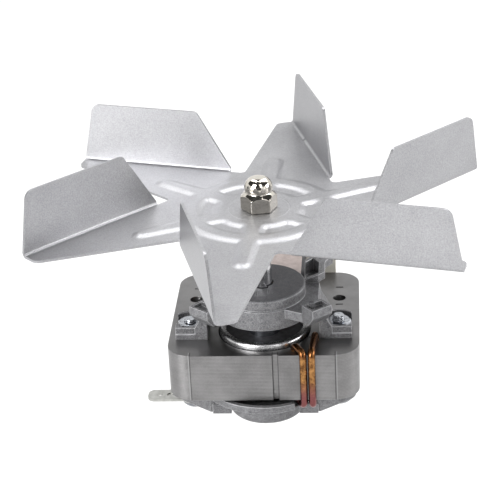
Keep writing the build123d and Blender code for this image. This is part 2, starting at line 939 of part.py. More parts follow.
def screw(x, seat):
    """Pan-head screw standing head down, with its underhead face at seat."""
    head = turned(
        [
            (0, 0),
            (screw_head_radius, 0),
            (screw_head_radius, -screw_head_height / 3),
            (screw_head_radius * cos(radians(45)), -screw_head_height),
            (0, -screw_head_height),
        ]
    )
    return Pos(x, 0, seat) * (head + rod(screw_radius, 0, screw_length))


def screw_left():
    return screw(-hole_x, tab_low)


def screw_right():
    return screw(hole_x, lower_foot_z)


def hex_nut(x, phase):
    """Thin hexagon nut on the floor of its foot's pocket, with its corners chamfered on top."""
    low = stack_top + foot_floor
    top = low + nut4_height
    across = nut4_flats / 2 / cos(radians(30))
    body = extrude(Pos(0, 0, low) * RegularPolygon(nut4_flats / 2, 6, major_radius=False, rotation=phase), nut4_height)
    body &= turned(
        [
            (0, low),
            (across, low),
            (across, top - nut4_chamfer / 2),
            (across - nut4_chamfer, top),
            (0, top),
        ]
    )
    body -= rod(screw_radius + slip, low, top)
    return Pos(x, 0, 0) * body


def nut_left():
    return hex_nut(-hole_x, nut4_left_phase)


def nut_right():
    return hex_nut(hole_x, nut4_right_phase)


def earth_tab():
    """Blade tab for the earth wire, clamped by its eye under the left screw's head."""
    half = blade_tab_width / 2
    blade_plan = Pos(-hole_x - tab_length / 2, 0) * Rectangle(tab_length, blade_tab_width)
    blade_plan = fillet(blade_plan.vertices().sort_by(Axis.X)[:2], half - blade_tab_thickness)
    plan = blade_plan + Pos(-hole_x, 0) * Circle(tab_eye_radius)
    plan -= Pos(-hole_x, 0) * Circle(hole_radius)
    plan -= Pos(-hole_x - tab_length + half + blade_tab_thickness, 0) * Circle(tab_hole_radius)
    tab = extrude(Pos(0, 0, tab_low) * plan, blade_tab_thickness)
    return tab - rod(tab_dimple_radius, tab_top - tab_dimple_depth, tab_top, -hole_x - tab_dimple_x, 0)


nodes = {
    "fan_wheel": fan_wheel,
    "cap_nut": cap_nut,
    "seat_washer": seat_washer,
    "shaft": shaft,
    "rotor_core": rotor_core,
    "rotor_cage": rotor_cage,
    "upper_sleeve": upper_sleeve,
    "lower_sleeve": lower_sleeve,
    "upper_thrust_washer": upper_thrust_washer,
    "lower_thrust_washer": lower_thrust_washer,
    "stator_stack": stator_stack,
    "core_leg": core_leg,
    "coil_bobbin": coil_bobbin,
    "coil_winding": coil_winding,
    "coil_tape": coil_tape,
    "terminal_block": terminal_block,
    "terminal_lower": lambda: terminal(0),
    "terminal_upper": lambda: terminal(1),
    "shading_ring_front_inner": lambda: shading_ring(0, 0),
    "shading_ring_front_outer": lambda: shading_ring(1, 0),
    "shading_ring_rear_inner": lambda: shading_ring(0, 180),
    "shading_ring_rear_outer": lambda: shading_ring(1, 180),
    "upper_bracket": upper_bracket,
    "lower_bracket": lower_bracket,
    "upper_bearing": upper_bearing,
    "lower_bearing": lower_bearing,
    "upper_felt": upper_felt,
    "lower_felt": lower_felt,
    "upper_retainer": upper_retainer,
    "lower_retainer": lower_retainer,
    "screw_left": screw_left,
    "screw_right": screw_right,
    "nut_left": nut_left,
    "nut_right": nut_right,
    "earth_tab": earth_tab,
}

os.makedirs("parts", exist_ok=True)
for name, make in nodes.items():
    export_step(make(), f"parts/{name}.step")
print(len(nodes), "nodes, overall height", round(shaft_top + nut_bore_spare, 1))
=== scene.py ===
# %% [markdown]
# # A hot air fan
#
# The real object is the circulating fan of a heated chamber: a wheel pressed from one aluminium
# sheet, a domed nut, and a flat shaded-pole motor that hangs between two die-cast brackets.
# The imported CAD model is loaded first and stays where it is. Each cell after that finishes one
# thing on it: a surface that is smoother than the solid, a thread, or a material.

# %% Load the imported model
import json

import bmesh
import bpy
import numpy as np
from mathutils import Matrix, Vector


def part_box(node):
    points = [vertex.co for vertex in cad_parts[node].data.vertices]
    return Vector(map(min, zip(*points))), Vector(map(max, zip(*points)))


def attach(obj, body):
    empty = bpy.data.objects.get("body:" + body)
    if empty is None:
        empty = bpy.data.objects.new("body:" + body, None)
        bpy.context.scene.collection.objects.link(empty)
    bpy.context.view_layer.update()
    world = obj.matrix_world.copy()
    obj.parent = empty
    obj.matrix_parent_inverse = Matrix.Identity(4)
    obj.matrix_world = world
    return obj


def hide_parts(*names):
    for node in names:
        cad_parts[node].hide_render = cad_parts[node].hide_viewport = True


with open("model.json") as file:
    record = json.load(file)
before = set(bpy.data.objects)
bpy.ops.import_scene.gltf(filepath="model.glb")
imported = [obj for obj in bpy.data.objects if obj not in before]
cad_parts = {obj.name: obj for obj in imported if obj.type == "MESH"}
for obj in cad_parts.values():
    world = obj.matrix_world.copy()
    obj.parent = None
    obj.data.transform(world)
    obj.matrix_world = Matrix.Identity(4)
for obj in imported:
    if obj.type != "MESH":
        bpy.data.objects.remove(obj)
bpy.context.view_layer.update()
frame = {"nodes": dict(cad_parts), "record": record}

nodes = frame["nodes"]
scene = bpy.context.scene

# %% [markdown]
# Sizes are worked out in millimetres, as on a drawing, and turned to metres when a mesh is made.
# Colours are written as the hex values that a colour picker gives. Those are display values, so
# one function takes them to the linear values that shaders work in.

# %% Units and colours
MM = 0.001
TAU = 2 * np.pi


def linear(hex_colour):
    """Linear RGBA of an sRGB hex colour, each channel undone from the display curve.

    A channel up to 0.04045 is divided by 12.92. Above that, 0.055 is added, the sum is divided by
    1.055, and the result is raised to the power 2.4.
    """
    channels = np.array([int(hex_colour[i:i + 2], 16) for i in (0, 2, 4)]) / 255
    low = channels / 12.92
    high = ((channels + 0.055) / 1.055) ** 2.4
    return (*np.where(channels <= 0.04045, low, high).tolist(), 1.0)


print("the display grey 808080 is", round(linear("808080")[0], 3), "in linear light")

# %% [markdown]
# A mesh is handed over as whole arrays: a grid of points, and the four corner numbers of each
# cell of the grid. One function joins any grid of rows and columns into quads, and closes it
# round where the last column runs into the first. Two grids that meet share their border points,
# so repeated points are merged before the faces are turned outwards.

# %% From grids to meshes
SHARP_ANGLE = np.radians(30)
MERGE_GAP = 0.002


def grid_faces(rows, columns, wrap_columns=False):
    """Corner numbers of the cells between rows and columns of a grid, as an n by 4 array."""
    r = np.arange(rows - 1)
    c = np.arange(columns if wrap_columns else columns - 1)
    r, c = np.meshgrid(r, c, indexing="ij")
    next_c = (c + 1) % columns
    corners = (r * columns + c, r * columns + next_c, (r + 1) * columns + next_c, (r + 1) * columns + c)
    return np.stack(corners, -1).reshape(-1, 4)


def clean(mesh):
    """Merges repeated points, drops the faces that this flattens, and turns the faces outwards."""
    work = bmesh.new()
    work.from_mesh(mesh)
    bmesh.ops.remove_doubles(work, verts=work.verts, dist=MERGE_GAP * MM)
    bmesh.ops.dissolve_degenerate(work, edges=work.edges, dist=MERGE_GAP * MM)
    bmesh.ops.recalc_face_normals(work, faces=work.faces)
    work.to_mesh(mesh)
    work.free()
    mesh.shade_smooth()


def make_piece(name, points_mm, faces):
    """New smooth object from points in millimetres and quads, with edges past SHARP_ANGLE sharp."""
    mesh = bpy.data.meshes.new(name)
    mesh.from_pydata((np.asarray(points_mm) * MM).tolist(), [], np.asarray(faces).tolist())
    clean(mesh)
    mesh.set_sharp_from_angle(angle=SHARP_ANGLE)
    piece = bpy.data.objects.new(name, mesh)
    scene.collection.objects.link(piece)
    print(name, len(mesh.polygons), "faces")
    return piece


print("3 by 4 points make", len(grid_faces(3, 4)), "cells, or",
      len(grid_faces(3, 4, wrap_columns=True)), "when closed round")

# %% [markdown]
# ## The wheel
#
# The wheel starts as a flat blank: a star with six arms. A press raises the centre, a ring and
# six spokes, and then folds one edge of each arm up into a blade. The same order works here.
# A function gives how far the press has lifted each point of the sheet, and a second one folds
# what lies beyond the bend line. Both act on whole arrays, so the smooth slopes of the pressing
# come out of a formula and not out of modelling by hand.
#
# The sizes are those of the solid wheel, which this sheet replaces. One arm is drawn with its tip
# on the X axis, and six copies are turned to their places in the end.

# %% Wheel sizes
ARMS = 6
WHEEL_PHASE = np.radians(-96.58)
SHEET = 0.8
PLATE_TOP = 70.0
# The hole is round with two flats, as the end of the shaft is.
HOLE_RADIUS, HOLE_HALF_FLAT = 3.02, 2.52
# The bend line runs from the root to the tip, and is the outer side of the blade.
TIP_RADIUS = 75.0
ROOT_RADIUS, ROOT_ANGLE = 33.9, np.radians(-34.75)
BEND_OUTER = 1.6
BEND_MIDDLE = BEND_OUTER - SHEET / 2
# Heights of the blade are above the sheet's underside. Each of its two upper corners has a
# distance along the bend and a radius.
BLADE_TOP = 20.1
BLADE_LEAN = np.tan(np.radians(2.33))
BLADE_CORNERS = ((11.2, 2.0), (47.4, 3.0))
# The arm's flat end, the point that its free edge runs to, and the rounds at both ends of that edge.
TIP_WIDTH = 6.4
ARM_ROOT = np.array([34.0, 9.2])
TIP_ROUND, RELIEF_ROUND = 2.6, 1.6

root = ROOT_RADIUS * np.array([np.cos(ROOT_ANGLE), np.sin(ROOT_ANGLE)])
tip = np.array([TIP_RADIUS, 0.0])
bend_length = np.linalg.norm(tip - root)
along = (tip - root) / bend_length
outward = np.array([along[1], -along[0]])
print("the bend line is", round(float(bend_length), 2), "mm long")

# %% [markdown]
# The outline of one arm is a short list of corners, some of them rounded. A rounded corner is
# an arc that touches both of its sides, at a distance of radius over the tangent of half the
# angle between them. The relief, the small round notch between two arms, is where the free edge
# of one arm meets the bend line of the next, and each arm draws its own half of it.

# %% Corners, rounds and crossings
ARC_POINTS = 7
ARC_MIDDLE = ARC_POINTS // 2


def turn(points, angle):
    """Plan points turned about the shaft axis."""
    c, s = np.cos(angle), np.sin(angle)
    x, y = points[..., 0], points[..., 1]
    return np.stack([x * c - y * s, x * s + y * c], -1)


def round_corner(before, corner, after, radius):
    """Points of the arc that touches both sides of a corner.

    Its middle lies on the line that halves the corner, at radius over the sine of the half angle.
    Even steps of the chord are pushed out from there to the radius.
    """
    a = (before - corner) / np.linalg.norm(before - corner)
    b = (after - corner) / np.linalg.norm(after - corner)
    half = np.arccos(np.clip(a @ b, -1, 1)) / 2
    middle = corner + (a + b) / np.linalg.norm(a + b) * radius / np.sin(half)
    start, end = corner + a * radius / np.tan(half), corner + b * radius / np.tan(half)
    t = np.linspace(0, 1, ARC_POINTS)[:, None]
    chord = start + (end - start) * t - middle
    return middle + chord / np.linalg.norm(chord, axis=1)[:, None] * radius


def crossing(p, p_way, q, q_way):
    """Point where the line through p along p_way meets the line through q along q_way."""
    share = np.linalg.solve(np.stack([p_way, -q_way], 1), q - p)[0]
    return p + p_way * share


square = np.array([[1.0, 0.0], [1.0, 1.0], [0.0, 1.0]])
print("a round of 1 mm in a square corner starts at", round_corner(*square, 1.0)[0].round(2))

# %% The outlines of an arm and of its blade
bend_start = root - outward * BEND_OUTER
bend_end = tip - outward * BEND_OUTER
tip_corner = tip - outward * TIP_WIDTH
next_start = turn(bend_start, TAU / ARMS)
next_way = turn(along, TAU / ARMS)
relief = crossing(tip_corner, ARM_ROOT - tip_corner, next_start, next_way)

relief_arc = round_corner(tip_corner, relief, next_start, RELIEF_ROUND)
tip_arc = round_corner(bend_end, tip_corner, relief, TIP_ROUND)
first_half = turn(relief_arc[ARC_MIDDLE:], -TAU / ARMS)
last_half = relief_arc[:ARC_MIDDLE + 1]
arm_outline = np.concatenate([first_half, [bend_start], [bend_end], tip_arc, last_half])

(inner_along, inner_round), (outer_along, outer_round) = BLADE_CORNERS
blade_side = np.array([[0.0, BEND_OUTER], [inner_along, BLADE_TOP], [outer_along, BLADE_TOP],
                       [bend_length, BEND_OUTER]])
inner_arc = round_corner(*blade_side[:3], inner_round)
outer_arc = round_corner(*blade_side[1:], outer_round)
blade_outline = np.concatenate([blade_side[:1], inner_arc, outer_arc, blade_side[3:]])
blade_run = np.concatenate([[0], np.cumsum(np.linalg.norm(np.diff(blade_outline, axis=0), axis=1))])
blade_share = blade_run / blade_run[-1]
print("arm outline", len(arm_outline), "points, blade outline", len(blade_outline), "points")

# %% [markdown]
# The pressing has three forms: a flat boss in the centre, a ring, and six tapered
# spokes. Each rises from 0 to 1 over a short slope as half a cosine wave. They are joined by
# what none of them leaves flat, so that their tops stay level and their slopes run into each
# other with a fillet, as drawn metal does.

# %% What the press lifts
BEAD_HEIGHT = 0.76
# Radii where a slope starts and ends: down from the boss, then up to the ring and down from it.
BOSS = (11.9, 15.0)
RING = (17.2, 19.9, 21.9, 25.3)
# Each end of a spoke has a distance from the axis and half a width. The slope lies inside that.
SPOKE_PHASE = np.radians(2.0)
SPOKE_ROOT, SPOKE_END = (12.0, 4.4), (38.2, 3.5)
SPOKE_SLOPE = 2.8


def ramp(value, low, high):
    """Half a cosine wave from 0 at low to 1 at high."""
    return (1 - np.cos(np.pi * np.clip((value - low) / (high - low), 0, 1))) / 2


def join(a, b):
    """Two lifts from 0 to 1 as one: the whole less what both leave flat, 1 - (1 - a)(1 - b)."""
    return a + b - a * b


def spoke(points):
    """Lift of one spoke: a ramp on the distance inside a line that tapers and has a round end."""
    (x0, w0), (x1, w1) = SPOKE_ROOT, SPOKE_END
    t = np.clip((points[..., 0] - x0) / (x1 - x0), 0, 1)
    nearest_x = x0 + (x1 - x0) * t
    away = np.hypot(points[..., 0] - nearest_x, points[..., 1])
    return ramp(w0 + (w1 - w0) * t - away, 0, SPOKE_SLOPE)


def pressed(points):
    """Height that the press gives plan points of the unturned wheel.

    The boss and the ring are ramps of the radius. For the spokes, the angle is brought into one
    sixth of a turn, so that every point sees its nearest spoke along the X axis.
    """
    radius = np.hypot(points[..., 0], points[..., 1])
    boss = 1 - ramp(radius, *BOSS)
    ring = ramp(radius, *RING[:2]) * (1 - ramp(radius, *RING[2:]))
    pitch = TAU / ARMS
    angle = np.arctan2(points[..., 1], points[..., 0]) - SPOKE_PHASE
    folded = (angle + pitch / 2) % pitch - pitch / 2
    spokes = spoke(np.stack([radius * np.cos(folded), radius * np.sin(folded)], -1))
    return BEAD_HEIGHT * np.clip(join(join(boss, ring), spokes), 0, 1)


on_ring = np.array([0.0, (RING[1] + RING[2]) / 2])
print("the ring's top stands", round(float(pressed(on_ring)), 2), "mm above the sheet")

# %% [markdown]
# The sheet is drawn in rays from the hole to the outline. Where a ray ends on a bend line, a
# fold follows: first a quarter turn about the bend, then the blade, which leans out a little.
# Rays go through the points of the outline and of the blade's, so that corners stay round, and
# even rays fill the space between them.

# %% Rays from the hole to the outline
# Two rays are at least LEAST_STEP apart, in radians. The other two values allow for rounding,
# where a side is parallel to a ray and where a ray passes through a side's end.
RAYS, LEAST_STEP = 88, 0.0015
PARALLEL, SHARE_SLACK = 1e-9, 1e-6


def polar(points):
    """Angle of plan points about the shaft axis, counted from the X axis."""
    return np.arctan2(points[..., 1], points[..., 0])


def ray_lengths(outline, angles):
    """Distance from the axis to the outline along each angle.

    A ray meets the line of a side at a length along the ray and at a share of the side, which are
    quotients of cross products. The furthest meeting between the side's two ends counts.
    """
    start, end = outline[:-1], outline[1:]
    way = np.stack([np.cos(angles), np.sin(angles)], -1)[:, None]
    side = end - start
    cross = way[..., 0] * side[:, 1] - way[..., 1] * side[:, 0]
    cross = np.where(np.abs(cross) < PARALLEL, PARALLEL, cross)
    length = (start[:, 0] * side[:, 1] - start[:, 1] * side[:, 0]) / cross
    share = (start[:, 0] * way[..., 1] - start[:, 1] * way[..., 0]) / cross
    inside = (share > -SHARE_SLACK) & (share < 1 + SHARE_SLACK) & (length > 0)
    return np.where(inside, length, 0).max(1)


on_bend = bend_start + (bend_end - bend_start) * blade_share[:, None]
fixed = np.unique(np.round(np.concatenate([polar(arm_outline), polar(on_bend)]), 5))
fixed = fixed[np.concatenate([[True], np.diff(fixed) > LEAST_STEP])]
between = np.linspace(polar(arm_outline[0]), polar(arm_outline[-1]), RAYS)
between = between[np.abs(between[:, None] - fixed).min(1) > LEAST_STEP]
angles = np.sort(np.concatenate([fixed, between]))
reach = ray_lengths(arm_outline, angles)
# The first and the last ray pass through the ends of the outline, where rounding could miss it.
reach[[0, -1]] = np.hypot(*arm_outline[[0, -1]].T)
print(len(angles), "rays, the longest", round(float(reach.max()), 2), "mm")

# %% [markdown]
# Along a ray the points lie close together where the metal slopes and further apart where it is
# flat. Round the boss and the ring they lie on circles. Further out they start to follow the
# outline, so that the last row is the outline itself.

# %% Rows of points along the rays
FLAT_RADII = [4.6, 7.0, 9.4]
BOSS_RADII = np.arange(11.4, 15.6, 0.46)
RING_RADII = np.arange(16.6, 26.2, 0.5)
# The close rows of the spokes go SPOKE_SHARE of the way from the last circle to the outline, but
# not past PAST_SPOKES. The wide rows go on from there.
LAST_CIRCLE, PAST_SPOKES, SPOKE_SHARE = 26.6, 43.0, 0.6
SPOKE_ROWS, EDGE_ROWS = 21, 8

circles = np.sort(np.concatenate([BOSS_RADII, RING_RADII, FLAT_RADII, [LAST_CIRCLE]]))
middle_radius = np.minimum(PAST_SPOKES, LAST_CIRCLE + SPOKE_SHARE * (reach - LAST_CIRCLE))
radii = np.concatenate([
    np.full((1, len(angles)), HOLE_RADIUS),
    np.repeat(circles[:, None], len(angles), 1),
    LAST_CIRCLE + (middle_radius - LAST_CIRCLE) * np.linspace(0, 1, SPOKE_ROWS + 1)[1:, None],
    middle_radius + (reach - middle_radius) * np.linspace(0, 1, EDGE_ROWS + 1)[1:, None],
])
plan = np.stack([radii * np.cos(angles), radii * np.sin(angles)], -1)
middle_z = PLATE_TOP - SHEET / 2
plate = np.concatenate([plan, (middle_z + pressed(plan))[..., None]], -1)
print("one arm is a grid of", plate.shape[:2], "points")

# %% [markdown]
# The fold is worked out on the middle of the sheet, as the rest of the wheel is: half of the
# thickness goes to each side later. The blade's points run from the bend line straight to the
# blade's outline, so its rounded corners come from the outline and not from cutting faces.

# %% Fold the blade
BEND_STEPS, BLADE_STEPS = 6, 9
ANGLE_SLACK = 1e-4


def fold(s, height):
    """Point at distance s along the bend and at a height above the sheet's underside.

    Up to the bend's outer radius the point is on a quarter circle; above it, on the leaning blade.
    """
    rise = np.clip(height / BEND_OUTER, 0, 1) * np.pi / 2
    inward = BEND_OUTER - BEND_MIDDLE * np.sin(rise)
    level = BEND_OUTER - BEND_MIDDLE * np.cos(rise)
    above = np.maximum(height - BEND_OUTER, 0)
    inward = inward - BLADE_LEAN * above
    level = level + above
    flat = root + along * s[..., None] - outward * inward[..., None]
    return np.concatenate([flat, (PLATE_TOP - SHEET + level)[..., None]], -1)


on_fold = (angles > polar(bend_start) - ANGLE_SLACK) & (angles < polar(bend_end) + ANGLE_SLACK)
edge_points = plate[-1, on_fold, :2]
share = np.clip((edge_points - bend_start) @ along / bend_length, 0, 1)
top = np.stack([np.interp(share, blade_share, blade_outline[:, i]) for i in (0, 1)], -1)
quarter = np.linspace(0, 1, BEND_STEPS + 1)[:, None] * BEND_OUTER
up = np.linspace(0, 1, BLADE_STEPS + 1)[1:, None]
s_values = np.concatenate([
    np.repeat((share * bend_length)[None], BEND_STEPS + 1, 0),
    share * bend_length + (top[:, 0] - share * bend_length) * up,
])
heights = np.concatenate([
    np.repeat(quarter, len(share), 1),
    BEND_OUTER + (top[:, 1] - BEND_OUTER) * up,
])
blade = fold(s_values, heights)
print("one blade is a grid of", blade.shape[:2], "points")

# %% [markdown]
# Six turned copies of the arm and the blade are merged into one sheet. Only the edge of the hole
# differs from arm to arm, because the hole has two flats. Solidify then gives the sheet its
# 0.8 mm, half to each side, and closes the cut edge all round.

# %% Build the wheel
LEAST_COSINE = 1e-3
CUT_EDGE_ANGLE = np.radians(40)


def turned_copies(grids, phase):
    """The points of each grid, turned to its place round the shaft axis."""
    copies = []
    for k, grid in enumerate(grids):
        points = grid.reshape(-1, 3)
        copies.append(np.concatenate([turn(points[:, :2], phase + k * TAU / ARMS), points[:, 2:]], 1))
    return np.concatenate(copies)


def repeated_faces(grid, first_point):
    """Faces of six copies of a grid, whose points follow each other from first_point on."""
    rows, columns = grid.shape[:2]
    faces = grid_faces(rows, columns) + first_point
    return np.concatenate([faces + k * rows * columns for k in range(ARMS)])


# A flat lies at its half width over the cosine of the angle from it, until the circle is nearer.
to_flat = np.abs(np.cos(angles + np.arange(ARMS)[:, None] * TAU / ARMS))
hole_edge = np.minimum(HOLE_RADIUS, HOLE_HALF_FLAT / np.maximum(to_flat, LEAST_COSINE))
plates = np.repeat(plate[None], ARMS, 0)
plates[:, 0, :, 0] = hole_edge * np.cos(angles)
plates[:, 0, :, 1] = hole_edge * np.sin(angles)

plate_points = turned_copies(plates, WHEEL_PHASE)
blade_points = turned_copies([blade] * ARMS, WHEEL_PHASE)
wheel_faces = np.concatenate([repeated_faces(plate, 0), repeated_faces(blade, len(plate_points))])
wheel = make_piece("pressed_wheel", np.concatenate([plate_points, blade_points]), wheel_faces)

# %% Give the sheet its thickness
thicken = wheel.modifiers.new("thickness", "SOLIDIFY")
thicken.thickness = SHEET * MM
thicken.offset = 0
evaluated = wheel.evaluated_get(bpy.context.evaluated_depsgraph_get())
wheel.data = bpy.data.meshes.new_from_object(evaluated)
wheel.modifiers.clear()
wheel.data.shade_smooth()
wheel.data.set_sharp_from_angle(angle=CUT_EDGE_ANGLE)
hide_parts("fan_wheel")
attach(wheel, "spinner")
print("wheel", sum(len(p.vertices) - 2 for p in wheel.data.polygons), "triangles")

# %% [markdown]
# ## Screws
#
# Two long M4 screws clamp the motor. Their ends stand a little above the nuts, and there the
# thread shows. A screw is a profile turned about its axis. Where the profile is on the thread,
# the radius is also lowered by a triangle wave of height and angle together: one turn of angle
# moves the wave by one pitch, which makes it a helix. The cross recess is a dip in the head.

# %% Screw sizes
SCREW_RADIUS, SCREW_LENGTH = 2.0, 29.0
HEAD_RADIUS, HEAD_HEIGHT, HEAD_CHAMFER = 4.0, 2.9, 0.15
# The head draws back from its middle to its rim by this share of its height, as this power.
CROWN_SHARE, CROWN_POWER, CROWN_POINTS = 0.62, 3.2, 26
PITCH, THREAD_DEPTH, THREAD_FROM, THREAD_STEP = 0.7, 0.36, 24.0, 0.07
SHANK_START, THREAD_END_GAP = 0.2, 0.35
# The chamfer at the screw's end draws in from END_EDGE to END_CHAMFER over the height END_RISE.
END_EDGE, END_CHAMFER, END_RISE = 0.1, 0.42, 0.3
CROSS_REACH, CROSS_HALF, CROSS_DEPTH = 2.1, 0.5, 1.5
# Shares of the cross's half width and reach at which its walls start.
WALL_SHARE, CROSS_END_SHARE = 0.7, 0.85
# Only the head lies under HEAD_LEVEL. THREAD_MARGIN keeps the thread off the end's face.
HEAD_LEVEL, THREAD_MARGIN = -0.2, 0.2
AROUND = 64
print("thread of", round((SCREW_LENGTH - THREAD_FROM) / PITCH, 1), "turns")


# %% A threaded screw
def screw_profile():
    """Radius and height from the middle of the head, round its rim and along the shank to the end.

    The crown draws back with a power of the share of the radius.
    """
    crown = np.linspace(0, 1, CROWN_POINTS)
    draw_back = HEAD_HEIGHT * CROWN_SHARE * crown ** CROWN_POWER
    head = np.stack([HEAD_RADIUS * crown, draw_back - HEAD_HEIGHT], 1)
    seat = [[HEAD_RADIUS, -HEAD_CHAMFER], [HEAD_RADIUS - HEAD_CHAMFER, 0.0], [SCREW_RADIUS, 0.0]]
    shank = [[SCREW_RADIUS, SHANK_START], [SCREW_RADIUS, THREAD_FROM]]
    run = np.arange(THREAD_FROM + THREAD_STEP, SCREW_LENGTH - THREAD_END_GAP, THREAD_STEP)
    thread = np.stack([np.full(len(run), SCREW_RADIUS), run], 1)
    end = [[SCREW_RADIUS - END_EDGE, SCREW_LENGTH - END_RISE],
           [SCREW_RADIUS - END_CHAMFER, SCREW_LENGTH], [0.0, SCREW_LENGTH]]
    return np.concatenate([head, seat, shank, thread, end])


def screw_surface():
    """Rings of points along the screw, with its thread and its cross recess.

    The thread lowers the radius by a triangle wave of height over pitch less angle over a turn.
    The cross sinks where the smaller of |x| and |y| is inside its half width and the larger one
    inside its reach.
    """
    profile = screw_profile()
    angle = np.linspace(0, TAU, AROUND, endpoint=False)
    r = np.repeat(profile[:, :1], AROUND, 1)
    z = np.repeat(profile[:, 1:], AROUND, 1)
    phase = (z / PITCH - angle / TAU) % 1
    groove = THREAD_DEPTH * (1 - np.abs(2 * phase - 1))
    fade = ramp(z, THREAD_FROM, THREAD_FROM + PITCH)
    on_thread = (z > THREAD_FROM) & (r > SCREW_RADIUS - THREAD_MARGIN)
    r = np.where(on_thread, r - groove * fade, r)
    x, y = r * np.cos(angle), r * np.sin(angle)
    across = 1 - ramp(np.minimum(np.abs(x), np.abs(y)), CROSS_HALF * WALL_SHARE, CROSS_HALF)
    outwards = 1 - ramp(np.maximum(np.abs(x), np.abs(y)), CROSS_REACH * CROSS_END_SHARE, CROSS_REACH)
    z = z + np.where(z < HEAD_LEVEL, across * outwards * CROSS_DEPTH, 0)
    return np.stack([x, y, z], -1)


print("a screw is a grid of", screw_surface().shape[:2], "points")


# %% Place the screws
def place_screw(name, node):
    """A screw standing where its solid stands, head down."""
    low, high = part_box(node)
    centre = (low + high) / (2 * MM)
    surface = screw_surface() + np.array([centre.x, centre.y, high.z / MM - SCREW_LENGTH])
    faces = grid_faces(*surface.shape[:2], wrap_columns=True)
    piece = make_piece(name, surface.reshape(-1, 3), faces)
    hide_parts(node)
    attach(piece, "motor")
    return piece


screws = [place_screw(f"threaded_{side}", f"screw_{side}") for side in ("left", "right")]

# %% [markdown]
# ## The domed nut
#
# The nut is drawn as columns of points round its axis. In each column the flat of the hexagon
# ends where a cone cuts it: near a corner the hexagon is further out, so the cone meets it
# lower, and that gives the arched top of every flat. The dome is fuller than a ball. Its radius
# and height follow a power curve: the share of the radius and the share of the height, each
# raised to a power a little over two, add up to one.

# %% Nut sizes
NUT_PHASE = np.radians(-81.0)
NUT_FLATS, FLAT_HEIGHT, CONE_SLOPE = 10.0, 4.9, np.tan(np.radians(46))
SEAT_CHAMFER, BROKEN_EDGE = 0.25, 0.12
NECK_RADIUS, NECK_HEIGHT, NECK_STEP = 4.2, 0.9, 0.15
# The straight part of the neck starts this far above the cone and ends this far under the dome.
NECK_FOOT, NECK_HEAD = 0.12, 0.1
DOME_RADIUS, DOME_POWER, DOME_ROWS = 4.42, 2.5, 22
NUT_COLUMNS = 96
nut_low, nut_top = (corner.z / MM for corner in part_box("cap_nut"))
print("the nut stands from", round(nut_low, 2), "to", round(nut_top, 2), "mm")


# %% Build the nut
def nut_surface(low_z, top_z):
    """Rows of the nut from the centre of its seat to the top of its dome.

    The hexagon's radius is half its width over the cosine of the angle from the nearest flat. The
    dome's radius and height are the cosine and the sine of a lean, raised to 2 over DOME_POWER.
    """
    angle = np.linspace(0, TAU, NUT_COLUMNS, endpoint=False)
    to_flat = (angle + TAU / 12) % (TAU / 6) - TAU / 12
    half = NUT_FLATS / 2
    hexagon = half / np.cos(to_flat)
    arch = low_z + FLAT_HEIGHT - (hexagon - half) * CONE_SLOPE
    cone_top = low_z + FLAT_HEIGHT + (half - NECK_RADIUS - NECK_STEP) * CONE_SLOPE
    neck_top = cone_top + NECK_HEIGHT
    lean = np.linspace(0, np.pi / 2, DOME_ROWS)
    dome_r = DOME_RADIUS * np.cos(lean) ** (2 / DOME_POWER)
    dome_z = neck_top + (top_z - neck_top) * np.sin(lean) ** (2 / DOME_POWER)
    rows = [(0.0, low_z), (hexagon - SEAT_CHAMFER, low_z), (hexagon, low_z + SEAT_CHAMFER), (hexagon, arch)]
    for t in (0.5, 1.0):
        rows.append((hexagon + (NECK_RADIUS + NECK_STEP - hexagon) * t, arch + (cone_top - arch) * t))
    rows += [(NECK_RADIUS, cone_top + NECK_FOOT), (NECK_RADIUS, neck_top - NECK_HEAD), *zip(dome_r, dome_z)]
    r, z = (np.array([np.broadcast_to(row[i], NUT_COLUMNS) for row in rows]) for i in (0, 1))
    return np.stack([r * np.cos(angle + NUT_PHASE), r * np.sin(angle + NUT_PHASE), z], -1)


nut_grid = nut_surface(nut_low, nut_top)
nut_faces = grid_faces(*nut_grid.shape[:2], wrap_columns=True)
domed_nut = make_piece("domed_nut", nut_grid.reshape(-1, 3), nut_faces)
edges = domed_nut.modifiers.new("broken_edges", "BEVEL")
edges.width = BROKEN_EDGE * MM
edges.segments = 2
edges.limit_method = "ANGLE"
edges.angle_limit = SHARP_ANGLE
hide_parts("cap_nut")
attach(domed_nut, "spinner")

# %% [markdown]
# ## Materials
#
# One small function adds a shader node: it sets the node's own settings, and sets or links its
# sockets. Everything else is said in the material that uses it. A pattern reads Object
# coordinates, which are metres here, so a noise of scale 1 / size has features of that size.

# %% Adding shader nodes
def add(tree, kind, sockets=None, **settings):
    """A new node of that kind, with its settings, and each socket set to a value or linked."""
    node = tree.nodes.new(kind)
    for name, value in settings.items():
        setattr(node, name, value)
    for name, value in (sockets or {}).items():
        if isinstance(value, bpy.types.NodeSocket):
            tree.links.new(value, node.inputs[name])
        else:
            node.inputs[name].default_value = value
    return node


def per_mm(size_mm):
    """Pattern scale that gives features of that size."""
    return 1 / (size_mm * MM)


print("half a millimetre of grain is a noise of scale", round(per_mm(0.5)))

# %% [markdown]
# Most finishes here are metal with three layers of detail: a cloud of slightly different colour,
# a grain that roughens it, and a fine relief. One recipe builds that, and hands back its parts
# so that a finish can add what only it has, such as lamination lines or a press mark. Most values
# of a noise lie between 0.3 and 0.7, so that range is spread over the colours and the roughness.

# %% The common recipe
NOISE_LOW, NOISE_HIGH = 0.3, 0.7


